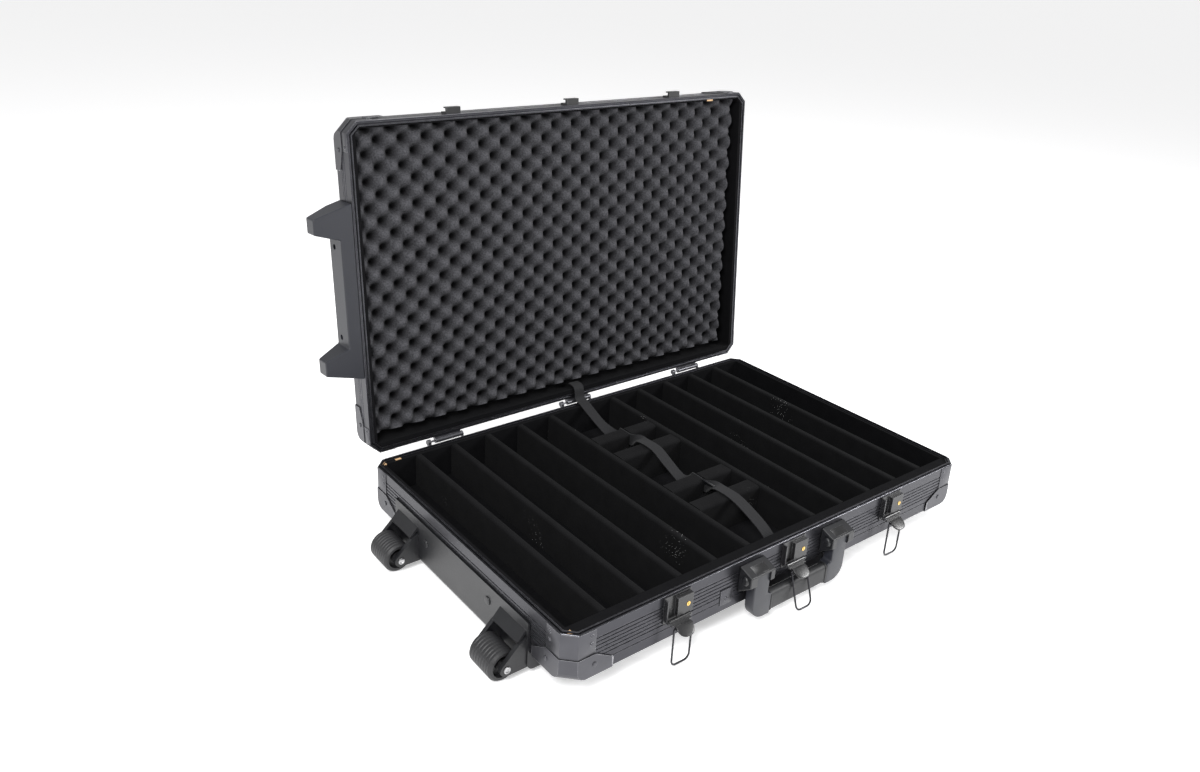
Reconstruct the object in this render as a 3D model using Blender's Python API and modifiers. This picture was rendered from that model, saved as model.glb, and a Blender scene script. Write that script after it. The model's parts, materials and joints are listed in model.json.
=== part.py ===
"""A wheeled hard case for short cue sections, standing open. Metres: X along the hinge line, -Y front, Z up."""

import math

import bmesh
import bpy
from mathutils import Matrix, Vector

# Overall sizes.
LENGTH = 0.750
WIDTH = 0.480
BASE_DEPTH = 0.065
LID_DEPTH = 0.040
UNDERSIDE = 0.035
CHAMFER = 0.015
CORNER_DROP = 0.014
CORNER_BITE = 0.011
LID_OPEN = math.radians(94.5)
GAP = 0.0003
RUNNING_FIT = 0.00008

# Frame extrusions and trays.
HEAD_WIDTH = 0.007
HEAD_DEPTH = 0.009
SKIN = 0.0025
FLANGE_WIDTH = 0.014
FLANGE = 0.0015
GROOVE_TOP = 0.014
GROOVE_PITCH = 0.0053
GROOVE_WIDTH = 0.0024
GROOVE_DEPTH = 0.0009
SEAM_WIDTH = 0.0014
TONGUE = (0.0032, 0.0048)
TONGUE_HEIGHT = 0.0022
TONGUE_PLAY = 0.0006
SIDE_WALL = 0.012
FRONT_WALL = 0.022
BACK_WALL = 0.014
LID_FRONT_WALL = 0.0095
FLOOR_DEPTH = 0.051
LID_PANEL = 0.005
CORNER_WALL = 0.002
FITTING_DROP = 0.001

# Inside fittings.
DIVIDERS_EACH_SIDE = 5
DIVIDER_THICK = 0.011
CENTRE_BAY = 0.118
CROSS_BLOCKS = ((0.106, 0.130, True), (0.047, 0.074, False), (-0.065, -0.040, True), (-0.122, -0.095, False))
SLOT_WIDTH = 0.005
SLOT_DEPTH = 0.026
FOAM_LOW = 0.0035
FOAM_BACK_MARGIN = 0.009
FOAM_RIGHT_MARGIN = 0.017
STRAP_X = 0.005
STRAP_WIDTH = 0.019
STRAP_THICK = 0.0015
STRAP_OVER = 0.0013
STRAP_IN_SLOT = -0.011

# Ball corners.
CORNER_REACH = 0.067
CORNER_SHORT_REACH = 0.040
BASE_CORNER_TOP = 0.035
LID_CORNER_TOP = 0.017

# Hinges.
HINGE_OUT = 0.007
HINGE_RISE = 0.0018
HINGE_X = (-0.251, 0.0, 0.251)
HINGE_HALF = 0.031
KNUCKLE = 0.004
PIN = 0.0015
LEAF = 0.0015

# Latches, keepers and the carry handle. OUT is measured forward from the front face, and heights from the rim.
LATCH_X = (-0.210, 0.0, 0.210)
LATCH_HALF = 0.0215
LATCH_TOP = -0.0025
LATCH_FOOT = -0.040
PLATE = 0.0015
LOCK_OUT = 0.0072
LOCK_X = 0.013
LOCK_Z = -0.0195
LOCK_RADIUS = 0.003
LUG_X = 0.017
LUG_THICK = 0.002
LEVER_PIVOT = (0.0065, -0.036)
LEVER_REST = math.radians(35)
FLAP_LENGTH = 0.018
FLAP_THICK = 0.002
FLAP_HALF = 0.0123
TUBE_AT = 0.010
WIRE = 0.0013
BAIL_HALF = 0.0147
BAIL_LENGTH = 0.055
KEEPER_HALF = 0.011
MOUNT_INNER = 0.057
MOUNT_OUTER = 0.102
ARM_INNER = 0.066
ARM_OUTER = 0.089
ARM_CLEAR = 0.001
HANDLE_PIVOT = (0.012, -0.024)
HANDLE_THICK = 0.014
GRIP_TOP = -0.0555
GRIP_FOOT = -0.0855
GRIP_ROUND = 0.016
HANDLE_PIN = 0.003
HANDLE_SOFT = 0.0055

# Stand bar on the lid's left side.
BAR_THICK = 0.020
BAR_REACH = 0.0567
BAR_CENTRE = -0.0055
BAR_DEPTH = 0.0385
BAR_SCREW_SPAN = 0.131

# Wheels and their carrier, and the pull handle under the base.
CARRIER_INSET = 0.073
CARRIER_TOP = 0.0775
CARRIER_FOOT = 0.008
CARRIER_SHELF = 0.023
CARRIER_SKIN = 0.0027
WHEEL_RADIUS = 0.021
WHEEL_WIDTH = 0.0465
WHEEL_CLEAR = 0.0064
WHEEL_INSETS = (0.033, 0.037)
TREAD_GROOVES = 7
TREAD_DEPTH = 0.0008
TREAD_SPAN = 0.72
EAR_THICK = 0.006
EAR_PLAY = 0.0015
AXLE = 0.003
SKID_HALF = 0.090
SKID_WALL = 0.003
SKID_END = 0.012
SKID_INSETS = (0.030, 0.025)
PULL_TUBE = 0.0055
PULL_SPACING = 0.070
PULL_TAIL = 0.020

HALF_L = LENGTH / 2
HALF_W = WIDTH / 2
RIM = UNDERSIDE + BASE_DEPTH
LID_RIM = RIM + GAP
HINGE_AXIS = Vector((0, HALF_W + HINGE_OUT, RIM + HINGE_RISE))
FLOOR = RIM - FLOOR_DEPTH
FITTING_TOP = RIM - FITTING_DROP
CARRIER_HALF = HALF_W - CARRIER_INSET
WHEEL_OUT = GAP + CARRIER_SKIN + WHEEL_CLEAR + WHEEL_RADIUS
WHEEL_Y = (WHEEL_INSETS[0] - CARRIER_HALF, CARRIER_HALF - WHEEL_INSETS[1])
SKID_ENDS = (SKID_INSETS[0] - HALF_L, HALF_L - SKID_INSETS[1])


# Building blocks.

def clear_scene():
    for obj in list(bpy.data.objects):
        bpy.data.objects.remove(obj, do_unlink=True)
    for name in ("cue_case", "cutters"):
        collection = bpy.data.collections.new(name)
        bpy.context.scene.collection.children.link(collection)
    bpy.data.collections["cutters"].hide_render = True


def material(name, color, roughness, metallic=0.0):
    made = bpy.data.materials.new(name)
    made.use_nodes = True
    shader = made.node_tree.nodes["Principled BSDF"]
    shader.inputs["Base Color"].default_value = (*color, 1)
    shader.inputs["Roughness"].default_value = roughness
    shader.inputs["Metallic"].default_value = metallic
    made.diffuse_color = (*color, 1)
    return made


def link(obj, made, parent=None):
    """Puts an object among the nodes, or among the cutters when it has no material."""
    bpy.data.collections["cue_case" if made else "cutters"].objects.link(obj)
    if made:
        obj.data.materials.append(made)
    else:
        obj.hide_render = True
        obj.display_type = "WIRE"
    if parent:
        obj.parent = parent
        obj.matrix_parent_inverse = Matrix.Translation(-parent.location)
    return obj


def solid(name, bm, made=None, parent=None, bevel=0.0, segments=2):
    bmesh.ops.recalc_face_normals(bm, faces=bm.faces)
    mesh = bpy.data.meshes.new(name)
    bm.to_mesh(mesh)
    bm.free()
    obj = link(bpy.data.objects.new(name, mesh), made, parent)
    if bevel:
        modifier = obj.modifiers.new("Bevel", "BEVEL")
        modifier.width = bevel
        modifier.segments = segments
        modifier.limit_method = "ANGLE"
        modifier.angle_limit = math.radians(40)
    return obj


def boolean(target, operation, blanks, parent=None):
    """Joins to the target, or cuts from it, one helper solid for each blank."""
    for number, blank in enumerate(blanks):
        helper = solid(f"{target.name}_{operation.lower()}_{number}", blank, parent=parent)
        modifier = target.modifiers.new(helper.name, "BOOLEAN")
        modifier.operation = operation
        modifier.object = helper
        modifier.solver = "EXACT"
    return target


def set_origin(obj, point):
    """Moves the object's origin to a point, leaving its shape where it is."""
    obj.data.transform(Matrix.Translation(-Vector(point)))
    obj.location = point
    return obj


def pivot(name, point, turn=0.0):
    empty = bpy.data.objects.new(name, None)
    bpy.data.collections["cue_case"].objects.link(empty)
    empty.location = point
    empty.rotation_euler.x = turn
    return empty


def box(low, high):
    low, high = Vector(low), Vector(high)
    bm = bmesh.new()
    bmesh.ops.create_cube(bm, size=1)
    bmesh.ops.scale(bm, vec=high - low, verts=bm.verts)
    bmesh.ops.translate(bm, vec=(high + low) / 2, verts=bm.verts)
    return bm


def prism(outline, low, high, axis):
    """Extrudes a flat outline of (y, z), (x, z) or (x, y) points along X, Y or Z."""
    def at(a, b, along):
        return {"X": (along, a, b), "Y": (a, along, b), "Z": (a, b, along)}[axis]

    bm = bmesh.new()
    face = bm.faces.new([bm.verts.new(at(a, b, low)) for a, b in outline])
    grown = bmesh.ops.extrude_face_region(bm, geom=[face], use_keep_orig=True)["geom"]
    moved = [part for part in grown if isinstance(part, bmesh.types.BMVert)]
    bmesh.ops.translate(bm, vec=at(0, 0, high - low), verts=moved)
    return bm


def arc(centre, radius, start, end, steps):
    turns = [math.radians(start + (end - start) * step / steps) for step in range(steps + 1)]
    return [(centre[0] + radius * math.cos(turn), centre[1] + radius * math.sin(turn)) for turn in turns]


def rod(centre, radius, low, high, axis, sides=24):
    return prism(arc(centre, radius, 0, 360, sides)[:-1], low, high, axis)


def loft(sections, closed):
    """Skins equal rings of points: a loop when closed, and flat-ended otherwise."""
    bm = bmesh.new()
    rings = [[bm.verts.new(point) for point in section] for section in sections]
    pairs = list(zip(rings, rings[1:]))
    if closed:
        pairs.append((rings[-1], rings[0]))
    else:
        bm.faces.new(rings[0])
        bm.faces.new(rings[-1])
    for near, far in pairs:
        for k in range(len(near)):
            bm.faces.new((near[k - 1], near[k], far[k], far[k - 1]))
    return bm


def turned(name, profile, made, centre):
    """Turns a closed profile of (radius, height) points about a line along Y."""
    bm = bmesh.new()
    points = [bm.verts.new((radius, 0, height)) for radius, height in profile]
    ends = list(zip(points, points[1:]))
    if profile[0][0] > 0:
        ends.append((points[-1], points[0]))
    for pair in ends:
        bm.edges.new(pair)
    mesh = bpy.data.meshes.new(name)
    bm.to_mesh(mesh)
    bm.free()
    obj = link(bpy.data.objects.new(name, mesh), made)
    screw = obj.modifiers.new("Turn", "SCREW")
    screw.steps = screw.render_steps = 36
    screw.use_merge_vertices = True
    screw.merge_threshold = 0.00001
    obj.rotation_euler.x = math.radians(90)
    obj.location = centre
    return obj


def front(out, rise):
    """The (y, z) of a point that far out from the front face and that far above the rim."""
    return (-HALF_W - out, RIM + rise)


# The octagonal outline that the base and the lid share.

def cut_at(depth, full):
    """How far the outline's corner is cut back at this depth: the chamfer, then a rounded bite."""
    t = min(max((depth - full + CORNER_DROP) / CORNER_DROP, 0), 1)
    return CHAMFER + CORNER_BITE * (1 - math.sqrt(1 - t * t))


def octagon(inset, depth, full, level, sign):
    x, y = HALF_L - inset, HALF_W - inset
    cut = cut_at(depth, full) - inset * (2 - math.sqrt(2))
    quarter = [(x - cut, y), (x, y - cut)]
    points = []
    for side_x, side_y, order in ((1, 1, 1), (1, -1, -1), (-1, -1, 1), (-1, 1, -1)):
        points += [(side_x * a, side_y * b, level + sign * depth) for a, b in quarter[::order]]
    return points


def bite_depths(full):
    return [full - CORNER_DROP * share for share in (1, 0.7, 0.45, 0.25)] + [full - FLANGE]


def tray(name, full, level, sign, made, parent, cavity):
    """A lined panel and its walls, stepped to pass inside the frame's head, with a cavity cut from it."""
    under_head = HEAD_WIDTH + GAP
    beside_skin = SKIN + GAP
    head_foot = HEAD_DEPTH + GAP
    steps = [(under_head, FITTING_DROP), (under_head, head_foot), (beside_skin, head_foot)]
    steps += [(beside_skin, depth) for depth in bite_depths(full)[:-1]]
    steps.append((beside_skin, full - FLANGE - GAP))
    sections = [octagon(inset, depth, full, level, sign) for inset, depth in steps]
    obj = solid(name, loft(sections, closed=False), made, parent)
    return boolean(obj, "DIFFERENCE", [cavity], parent)


def skin_profile(full, grooves):
    """The outer face from the rim down, with its grooves, and back up inside to the head."""
    outer = []
    for top, width in grooves:
        slope = width / 6
        outer += [(0, top), (GROOVE_DEPTH, top + slope), (GROOVE_DEPTH, top + width - slope), (0, top + width)]
    outer += [(0, depth) for depth in bite_depths(full)] + [(0, full)]
    inner = [(FLANGE_WIDTH, full), (FLANGE_WIDTH, full - FLANGE)]
    inner += [(SKIN, depth) for depth in reversed(bite_depths(full))]
    inner += [(SKIN, HEAD_DEPTH), (HEAD_WIDTH, HEAD_DEPTH)]
    return outer + inner


def ring(name, profile, full, level, sign, made, parent=None):
    sections = [octagon(inset, depth, full, level, sign) for inset, depth in profile]
    return solid(name, loft(sections, closed=True), made, parent)


def base_frame(made):
    tongue_in, tongue_out = TONGUE
    top = [
        (HEAD_WIDTH, 0), (tongue_out + 0.0008, 0), (tongue_out + 0.0008, 0.0015), (tongue_out, 0.0015),
        (tongue_out, -TONGUE_HEIGHT), (tongue_in, -TONGUE_HEIGHT), (tongue_in, 0.0025),
        (tongue_in - 0.001, 0.0025), (tongue_in - 0.001, 0), (0.0003, 0), (0, 0.0003),
    ]
    grooves = [(GROOVE_TOP + GROOVE_PITCH * k, GROOVE_WIDTH) for k in range(6)]
    grooves.append((BASE_DEPTH - CORNER_DROP - 0.0016, SEAM_WIDTH))
    profile = top + skin_profile(BASE_DEPTH, grooves)
    return ring("base_frame", profile, BASE_DEPTH, RIM, -1, made)


def lid_frame(made, parent):
    slot_in, slot_out = TONGUE[0] - TONGUE_PLAY, TONGUE[1] + TONGUE_PLAY
    slot_depth = TONGUE_HEIGHT + TONGUE_PLAY + GAP
    top = [
        (HEAD_WIDTH, 0), (slot_out, 0), (slot_out, slot_depth), (slot_in, slot_depth), (slot_in, 0),
        (0.0003, 0), (0, 0.0003),
    ]
    grooves = [(GROOVE_TOP + GROOVE_PITCH * k, GROOVE_WIDTH) for k in range(2)]
    grooves.append((LID_DEPTH - CORNER_DROP - 0.0016, SEAM_WIDTH))
    profile = top + skin_profile(LID_DEPTH, grooves)
    return ring("lid_frame", profile, LID_DEPTH, LID_RIM, 1, made, parent)


def lined_block(low, high, play=0.0):
    """A block whose upright edges are cut off where the case's chamfered corners would meet them."""
    wall = HEAD_WIDTH + GAP + CORNER_WALL + play
    limit = HALF_L + HALF_W - CHAMFER - wall * math.sqrt(2)
    outline = []
    (x_low, y_low, _), (x_high, y_high, _) = low, high
    for x, y, order in ((x_high, y_high, 1), (x_high, y_low, -1), (x_low, y_low, 1), (x_low, y_high, -1)):
        bite = max(abs(x) + abs(y) - limit, 0.0005)
        corner = [(x - math.copysign(bite, x), y), (x, y - math.copysign(bite, y))]
        outline += corner[::order]
    return prism(outline, low[2], high[2], "Z")


def base_tray(made):
    low = (-HALF_L + SIDE_WALL, -HALF_W + FRONT_WALL, FLOOR)
    high = (HALF_L - SIDE_WALL, HALF_W - BACK_WALL, RIM + 0.01)
    return tray("base_tray", BASE_DEPTH, RIM, -1, made, None, lined_block(low, high))


def lid_tray(made, parent):
    low = (-HALF_L + SIDE_WALL, -HALF_W + LID_FRONT_WALL, LID_RIM - 0.01)
    high = (HALF_L - SIDE_WALL, HALF_W - BACK_WALL, LID_RIM + LID_DEPTH - LID_PANEL)
    return tray("lid_tray", LID_DEPTH, LID_RIM, 1, made, parent, lined_block(low, high))


def ball_corner(name, side_x, side_y, full, top, level, sign, made, parent=None):
    """A pressed corner: two flanges that step down along the sides, and a foot turned under the edge."""
    shelf = full + GAP
    step_depths = [top, top + 0.0077, max(full - CORNER_DROP, top + 0.0087)]
    depths = step_depths + bite_depths(full)[1:] + [full]
    section = [(-GAP - FLANGE, depth) for depth in depths]
    section += [(-GAP - FLANGE / 2, full + GAP + FLANGE * 0.8), (0.0008, shelf + FLANGE)]
    section += [(FLANGE_WIDTH, shelf + FLANGE), (FLANGE_WIDTH, shelf), (-GAP, shelf)]
    section += [(-GAP, depth) for depth in reversed(depths)]

    def reach(depth):
        run = min(max((depth - step_depths[0]) / (step_depths[2] - step_depths[0]), 0), 1)
        return CORNER_SHORT_REACH + (CORNER_REACH - CORNER_SHORT_REACH) * run

    def point(along_x, along_y, depth):
        return (side_x * along_x, side_y * along_y, level + sign * depth)

    stations = [[], [], [], []]
    for inset, depth in section:
        x, y = HALF_L - inset, HALF_W - inset
        cut = cut_at(depth, full) - inset * (2 - math.sqrt(2))
        end = reach(depth)
        stations[0].append(point(HALF_L - end, y, depth))
        stations[1].append(point(x - cut, y, depth))
        stations[2].append(point(x, y - cut, depth))
        stations[3].append(point(x, HALF_W - end, depth))
    return solid(name, loft(stations, closed=False), made, parent)


# Inside the base.

def divider_places():
    """The left side of each divider: equal bays on both sides of a wider centre bay."""
    inner = LENGTH - 2 * SIDE_WALL
    bays = 2 * DIVIDERS_EACH_SIDE
    bay = (inner - CENTRE_BAY - bays * DIVIDER_THICK) / bays
    left = [-inner / 2 + bay + k * (bay + DIVIDER_THICK) for k in range(DIVIDERS_EACH_SIDE)]
    return left + [-x - DIVIDER_THICK for x in reversed(left)]


def soft_top(low, high, foot, top, round_off):
    """An upright strip's end view, with its two top edges rounded."""
    right = arc((high - round_off, top - round_off), round_off, 0, 90, 3)
    left = arc((low + round_off, top - round_off), round_off, 90, 180, 3)
    return [(low, foot), (high, foot)] + right + left


def dividers(made):
    low, high = -HALF_W + FRONT_WALL + GAP, HALF_W - BACK_WALL - GAP
    for number, x in enumerate(divider_places(), 1):
        outline = soft_top(x, x + DIVIDER_THICK, FLOOR + GAP, RIM - FITTING_DROP / 2, 0.0035)
        solid(f"divider_{number}", prism(outline, low, high, "Y"), made)


def cross_blocks(made):
    half = CENTRE_BAY / 2 - GAP
    for number, (low, high, slotted) in enumerate(CROSS_BLOCKS, 1):
        outline = soft_top(low, high, FLOOR + GAP, FITTING_TOP, 0.004)
        block = solid(f"cross_block_{number}", prism(outline, -half, half, "X"), made)
        if slotted:
            slot_low = (STRAP_X - SLOT_WIDTH / 2, low - 0.01, FITTING_TOP - SLOT_DEPTH)
            slot_high = (STRAP_X + SLOT_WIDTH / 2, high + 0.01, RIM)
            boolean(block, "DIFFERENCE", [box(slot_low, slot_high)])


def smooth(points, steps):
    """Reads a smooth curve through the points, with that many steps in each span."""
    rows = [Vector(point) for point in points]
    made = []
    for k in range(len(rows) - 1):
        before, start, end, after = rows[max(k - 1, 0)], rows[k], rows[k + 1], rows[min(k + 2, len(rows) - 1)]
        for step in range(steps):
            t = step / steps
            bend = (end - before) * (t - 2 * t * t + t ** 3) / 2 + (after - start) * (t ** 3 - t * t) / 2
            made.append(start * (1 - 3 * t * t + 2 * t ** 3) + end * (3 * t * t - 2 * t ** 3) + bend)
    return made + [rows[-1]]


def strap_route():
    """Rows of y, z and the strap's turn about its length, from the lid to the base's front wall."""
    hinge, front_wall = HINGE_AXIS.y, -HALF_W + FRONT_WALL
    over, inside = RIM + STRAP_OVER - FITTING_DROP, RIM + STRAP_IN_SLOT
    rows = [(hinge + y, RIM + z, 0) for y, z in (
        (0.0150, 0.0280), (0.0070, 0.0280), (0.0005, 0.0265), (-0.0030, 0.0215), (-0.0045, 0.0130),
        (-0.0065, 0.0070), (-0.0110, 0.0043), (-0.0210, 0.0017), (-0.0320, -0.0030),
    )]
    (first, _, _), (second, _, _), (third, _, _), (fourth, _, _) = CROSS_BLOCKS
    high = [block[1] for block in CROSS_BLOCKS]
    rows += [((rows[-1][0] + high[0] + 0.015) / 2, RIM - 0.016, 0), (high[0] + 0.015, RIM - 0.021, 35)]
    rows += [(high[0] + 0.005, RIM - 0.014, 80), (high[0], inside, 90), (first, inside, 90)]
    rows += [(first - 0.008, RIM - 0.0085, 75), (high[1] + 0.012, RIM - 0.0025, 25)]
    rows += [(high[1] + 0.002, over, 0), (second - 0.002, over, 0), (second - 0.027, RIM - 0.010, 0)]
    rows += [(high[2] + 0.031, RIM - 0.0215, 0), (high[2] + 0.016, RIM - 0.021, 35)]
    rows += [(high[2] + 0.006, RIM - 0.014, 80)]
    rows += [(high[2], inside, 90), (third, inside, 90), (third - 0.006, RIM - 0.009, 75)]
    rows += [(high[3] + 0.013, RIM - 0.003, 25), (high[3] + 0.002, over, 0), (fourth - 0.002, over, 0)]
    rows += [((fourth + front_wall + 0.030) / 2, RIM - 0.0085, 0), (front_wall + 0.032, RIM - 0.022, 0)]
    return rows + [(front_wall + 0.013, RIM - 0.038, 0), (front_wall + 0.004, RIM - 0.048, 0)]


def strap(made):
    bm = bmesh.new()
    previous = None
    for y, z, turn in smooth(strap_route(), 2):
        across = Vector((math.cos(math.radians(turn)), 0, math.sin(math.radians(turn)))) * STRAP_WIDTH / 2
        middle = Vector((STRAP_X, y, z))
        pair = (bm.verts.new(middle - across), bm.verts.new(middle + across))
        if previous:
            bm.faces.new((previous[0], previous[1], pair[1], pair[0]))
        previous = pair
    obj = solid("strap", bm, made)
    thicken = obj.modifiers.new("Thickness", "SOLIDIFY")
    thicken.thickness = STRAP_THICK
    thicken.offset = 0
    return obj


def lid_foam(made, parent):
    low = (-HALF_L + SIDE_WALL + GAP, -HALF_W + LID_FRONT_WALL + GAP, LID_RIM + FOAM_LOW)
    high = (
        HALF_L - SIDE_WALL - FOAM_RIGHT_MARGIN, HALF_W - BACK_WALL - FOAM_BACK_MARGIN,
        LID_RIM + LID_DEPTH - LID_PANEL - GAP,
    )
    return solid("lid_foam", lined_block(low, high, GAP), made, parent)


# Hinges.

def hinge_leaves(made, lid):
    axis = (HINGE_AXIS.y, HINGE_AXIS.z)
    near = HALF_W + GAP
    far = near + LEAF
    for number, x in enumerate(HINGE_X, 1):
        low, high = x - HINGE_HALF, x + HINGE_HALF
        left_end, right_start = low + 0.0054, high - 0.0027
        leaf = solid(f"hinge_leaf_{number}", box((low, near, RIM - 0.024), (high, far, RIM - 0.003)), made)
        joins = []
        for start, end in ((low, left_end), (right_start, high)):
            arm = [
                (near, RIM - 0.006), (far, RIM - 0.006), (axis[0] + 0.002, axis[1] - 0.0028), axis,
                (axis[0] - 0.0032, axis[1] - 0.0022), (near, axis[1] - 0.0035),
            ]
            joins += [prism(arm, start, end, "X"), rod(axis, KNUCKLE, start, end, "X", 20)]
        joins.append(rod(axis, PIN, low + 0.001, high - 0.001, "X", 16))
        boolean(leaf, "UNION", joins)

        barrel_low, barrel_high = left_end + 0.008, right_start - GAP
        name = f"hinge_barrel_{number}"
        barrel = solid(name, rod(axis, KNUCKLE, barrel_low, barrel_high, "X", 20), made, lid)
        web = [
            (near, axis[1] + 0.0008), (axis[0] + 0.001, axis[1] + 0.0008), (axis[0] + 0.001, axis[1] + 0.003),
            (far, axis[1] + 0.006), (near, axis[1] + 0.006),
        ]
        plate = box((low, near, LID_RIM + 0.0035), (high, far, LID_RIM + 0.026))
        boolean(barrel, "UNION", [prism(web, barrel_low, barrel_high, "X"), plate], lid)
        bore = rod(axis, PIN + RUNNING_FIT, low - 0.01, high + 0.01, "X", 16)
        boolean(barrel, "DIFFERENCE", [bore], lid)


# Latches.

def latch_plate(name, x, made):
    plate_low, plate_high = front(GAP, LATCH_FOOT), front(GAP + PLATE, LATCH_TOP)
    low = (x - LATCH_HALF, plate_high[0], plate_low[1])
    high = (x + LATCH_HALF, plate_low[0], plate_high[1])
    plate = solid(name, box(low, high), made)
    back = -HALF_W - GAP - PLATE / 2
    block = box((x - 0.004, -HALF_W - LOCK_OUT, RIM - 0.032), (x + 0.021, back, RIM - 0.006))
    cheek = box((x - LATCH_HALF, -HALF_W - LOCK_OUT, RIM - 0.034), (x - LATCH_HALF + 0.0016, back, RIM - 0.004))
    joins = [block, cheek]
    axis = front(*LEVER_PIVOT)
    for side in (-1, 1):
        inner, outer = side * LUG_X, side * (LUG_X + LUG_THICK)
        lug = arc(axis, 0.0026, 180, 360, 8) + [(back, axis[1] + 0.0026), (axis[0] - 0.0026, axis[1] + 0.0026)]
        lug = [(back, axis[1] - 0.0026) if point[0] > axis[0] + 0.0025 else point for point in lug]
        joins.append(prism(lug, x + min(inner, outer), x + max(inner, outer), "X"))
    boolean(plate, "UNION", joins)
    pin_hole = rod(axis, PIN + RUNNING_FIT, x - 0.03, x + 0.03, "X", 16)
    lock_hole = rod((x + LOCK_X, RIM + LOCK_Z), LOCK_RADIUS + GAP / 3, -HALF_W - 0.02, -HALF_W - 0.002, "Y", 20)
    return boolean(plate, "DIFFERENCE", [pin_hole, lock_hole])


def latch_lock(name, x, made):
    """The lock cylinder, with a key slot across its face."""
    axis = (x + LOCK_X, RIM + LOCK_Z)
    face = -HALF_W - LOCK_OUT - 0.0005
    cylinder = solid(name, rod(axis, LOCK_RADIUS, face, -HALF_W - 0.0023, "Y", 20), made)
    slot_low = (axis[0] - 0.0004, face - 0.01, axis[1] - 0.0018)
    slot_high = (axis[0] + 0.0004, face + 0.002, axis[1] + 0.0018)
    return boolean(cylinder, "DIFFERENCE", [box(slot_low, slot_high)])


def latch_lever(name, x, made):
    """A rounded flap on a barrel, drawn straight out and turned down to its stop by its pivot."""
    axis = front(*LEVER_PIVOT)
    lever = pivot(f"{name}_pivot", (x, *axis), LEVER_REST)
    middle = axis[0]
    tip = arc((x, middle - FLAP_LENGTH + FLAP_HALF), FLAP_HALF, 180, 360, 12)
    tip = [(px, max(py, middle - FLAP_LENGTH)) for px, py in tip]
    neck = middle - 0.0065
    shoulder = LUG_X - 0.0012
    outline = [(x - shoulder, middle), (x - shoulder, neck), *tip, (x + shoulder, neck), (x + shoulder, middle)]
    flap = prism(outline, axis[1] - FLAP_THICK / 2, axis[1] + FLAP_THICK / 2, "Z")
    obj = solid(name, flap, made, lever)
    barrel = rod(axis, 0.0031, x - LUG_X + GAP, x + LUG_X - GAP, "X", 20)
    pin = rod(axis, PIN, x - LUG_X - LUG_THICK - 0.0005, x + LUG_X + LUG_THICK + 0.0005, "X", 16)
    tube_axis = (middle - TUBE_AT, axis[1])
    tube = rod(tube_axis, WIRE + 0.0012, x - FLAP_HALF, x + FLAP_HALF, "X", 20)
    boolean(obj, "UNION", [barrel, pin, tube], lever)
    bore = rod(tube_axis, WIRE + RUNNING_FIT, x - 0.03, x + 0.03, "X", 16)
    return boolean(obj, "DIFFERENCE", [bore], lever)


def bail_axis():
    """The (y, z) of the wire's pivot in the lever at rest."""
    out, rise = LEVER_PIVOT
    return front(out + TUBE_AT * math.cos(LEVER_REST), rise - TUBE_AT * math.sin(LEVER_REST))


def latch_bail(name, x, made):
    """A closed wire loop that hangs from the lever's cross tube."""
    top, bottom = 0.0019, 0.008
    half, foot = BAIL_HALF, -BAIL_LENGTH
    path = arc((half - top, -top), top, 90, 0, 4)
    path += arc((half - bottom, foot + bottom), bottom, 0, -90, 6)
    path += arc((bottom - half, foot + bottom), bottom, -90, -180, 6)
    path += arc((top - half, -top), top, 180, 90, 4)
    curve = bpy.data.curves.new(name, "CURVE")
    curve.dimensions = "3D"
    curve.bevel_depth = WIRE
    curve.bevel_resolution = 3
    spline = curve.splines.new("POLY")
    spline.points.add(len(path) - 1)
    for point, (across, rise) in zip(spline.points, path):
        point.co = (across, 0, rise, 1)
    spline.use_cyclic_u = True
    obj = link(bpy.data.objects.new(name, curve), made)
    obj.location = (x, *bail_axis())
    return obj


def keeper(name, x, made, parent):
    """The hook on the lid that the wire loop pulls on."""
    low, lip, hook = 0.003, 0.008, 0.010
    outline = [(GAP, low), (hook, low), (hook, low + 0.010), (lip, low + 0.010), (lip, low + 0.005),
               (GAP + 0.0027, low + 0.005), (GAP + 0.0027, low + 0.017), (GAP, low + 0.017)]
    points = [front(out, rise) for out, rise in outline]
    return solid(name, prism(points, x - KEEPER_HALF, x + KEEPER_HALF, "X"), made, parent)


# Carry handle.

def handle_mount(name, side, made):
    low, high = sorted((side * MOUNT_INNER, side * MOUNT_OUTER))
    side_view = ((GAP, -0.007), (0.022, -0.015), (0.022, -0.030), (GAP, -0.046))
    outline = [front(out, rise) for out, rise in side_view]
    mount = solid(name, prism(outline, low, high, "X"), made, bevel=0.0012)
    arm_low, arm_high = sorted((side * ARM_INNER, side * ARM_OUTER))
    pocket_low, pocket_high = arm_low - ARM_CLEAR, arm_high + ARM_CLEAR
    wall = -HALF_W - HANDLE_PIVOT[0] + HANDLE_THICK / 2 + 0.002
    pocket_top = RIM + HANDLE_PIVOT[1] + HANDLE_THICK / 2 + ARM_CLEAR / 2
    pocket = box((pocket_low, -HALF_W - 0.03, RIM - 0.050), (pocket_high, wall, pocket_top))
    axis = front(*HANDLE_PIVOT)
    pin_hole = rod(axis, HANDLE_PIN + RUNNING_FIT, pocket_low - 0.0045, pocket_high + 0.0045, "X", 20)
    return boolean(mount, "DIFFERENCE", [pocket, pin_hole])


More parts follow.
